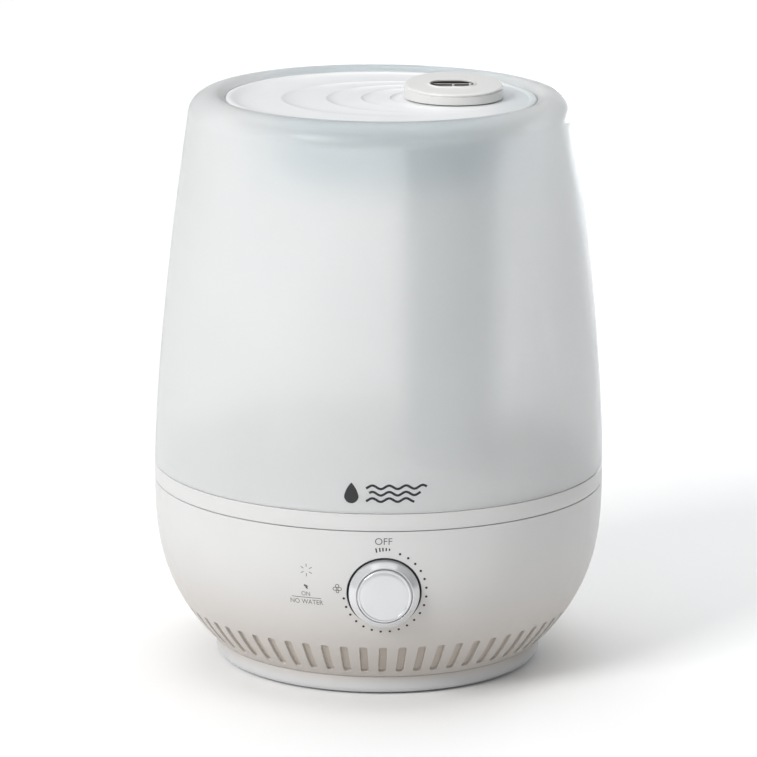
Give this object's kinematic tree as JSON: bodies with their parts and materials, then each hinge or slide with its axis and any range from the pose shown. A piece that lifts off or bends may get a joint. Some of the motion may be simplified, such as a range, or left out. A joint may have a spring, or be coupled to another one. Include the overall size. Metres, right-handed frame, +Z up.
{
  "type": "cool mist humidifier",
  "caption": "Round tabletop ultrasonic cool mist humidifier: white base with a front knob and intake slots, frosted lift-off tank, lift-off lid and a turning mist nozzle.",
  "frame": {"origin": "on the table, under the middle of the round body", "axes": "+Z up, -Y to the front where the knob is, +X to the right as seen from the front, towards the nozzle"},
  "size_m": [0.2224, 0.2266, 0.2894],
  "materials": {
    "white_shell": "satin white moulded plastic",
    "white_inner": "plain white moulded plastic",
    "frosted": "frosted translucent plastic with a cool tint",
    "knob_gloss": "glossy pale moulded plastic",
    "dark_plastic": "dark moulded plastic",
    "rubber": "matt grey rubber",
    "silicone": "soft pale silicone",
    "steel": "zinc-plated steel",
    "aluminium": "plain aluminium",
    "ceramic": "metallised piezo ceramic",
    "board": "green circuit board",
    "filter": "fine filter gauze",
    "copper": "enamelled copper windings",
    "lens": "clear light pipe, unlit"
  },
  "bodies": {
    "base": {"base_shell": "white_shell", "bottom_cover": "white_shell", "dust_filter": "filter", "rubber_foot_1": "rubber", "rubber_foot_2": "rubber", "rubber_foot_3": "rubber", "rubber_foot_4": "rubber", "cover_screw_1": "steel", "cover_screw_2": "steel", "cover_screw_3": "steel", "cover_screw_4": "steel", "cord_gland": "rubber", "basin": "white_inner", "transducer_gasket": "silicone", "transducer_disc": "ceramic", "transducer_plate": "aluminium", "transducer_screw_1": "steel", "transducer_screw_2": "steel", "mist_guide": "white_inner", "float_clip": "white_inner", "level_float_pin": "steel", "fan_frame": "dark_plastic", "fan_duct": "white_inner", "driver_board": "board", "heat_sink": "aluminium", "capacitor": "dark_plastic", "transformer": "copper", "knob_cup": "dark_plastic", "control_board": "board", "potentiometer": "steel", "indicator_led": "lens", "indicator_lens": "lens"},
    "knob": {"knob": "knob_gloss", "knob_cap": "knob_gloss", "knob_shaft": "steel"},
    "fan": {"fan_rotor": "dark_plastic"},
    "low_water_float": {"low_water_float": "silicone", "float_magnet": "dark_plastic"},
    "level_float": {"level_float_arm": "white_inner", "level_float_block": "silicone"},
    "tank": {"tank_shell": "frosted", "tank_base": "white_shell", "mist_tube": "frosted", "mist_tube_seal": "silicone", "valve_cage": "white_inner", "valve_spring": "steel"},
    "valve": {"valve_stem": "white_inner", "valve_seal": "silicone"},
    "lid": {"lid": "white_shell", "lid_seal": "silicone"},
    "nozzle": {"nozzle_cap": "white_shell", "nozzle_baffle": "dark_plastic"}
  },
  "joints": [
    {"name": "knob_turn", "type": "hinge", "parent": "base", "child": "knob", "pos_m": [0, -0.1, 0.0596], "axis": [0, 1, 0], "range_deg": [0, 270]},
    {"name": "fan_spin", "type": "hinge", "parent": "base", "child": "fan", "pos_m": [0.012, 0.052, 0.046], "axis": [0, 0, 1], "continuous": true},
    {"name": "low_water_float_rise", "type": "slide", "parent": "base", "child": "low_water_float", "axis": [0, 0, 1], "range_m": [0, 0.005]},
    {"name": "level_float_swing", "type": "hinge", "parent": "base", "child": "level_float", "pos_m": [-0.054, 0, 0.077], "axis": [0, 1, 0], "range_deg": [0, 10]},
    {"name": "tank_lift", "type": "slide", "parent": "base", "child": "tank", "axis": [0, 0, 1], "range_m": [0, 0.1]},
    {"name": "valve_close", "type": "slide", "parent": "tank", "child": "valve", "axis": [0, 0, 1], "range_m": [-0.003, 0], "deforming": ["valve_spring"]},
    {"name": "lid_lift", "type": "slide", "parent": "tank", "child": "lid", "axis": [0, 0, 1], "range_m": [0, 0.08]},
    {"name": "nozzle_turn", "type": "hinge", "parent": "lid", "child": "nozzle", "pos_m": [0.0355, 0, 0.28], "axis": [0, 0, 1], "continuous": true}
  ],
  "couplings": [
    {"joint": "valve_close", "follows": "tank_lift", "ratio": -0.03}
  ]
}
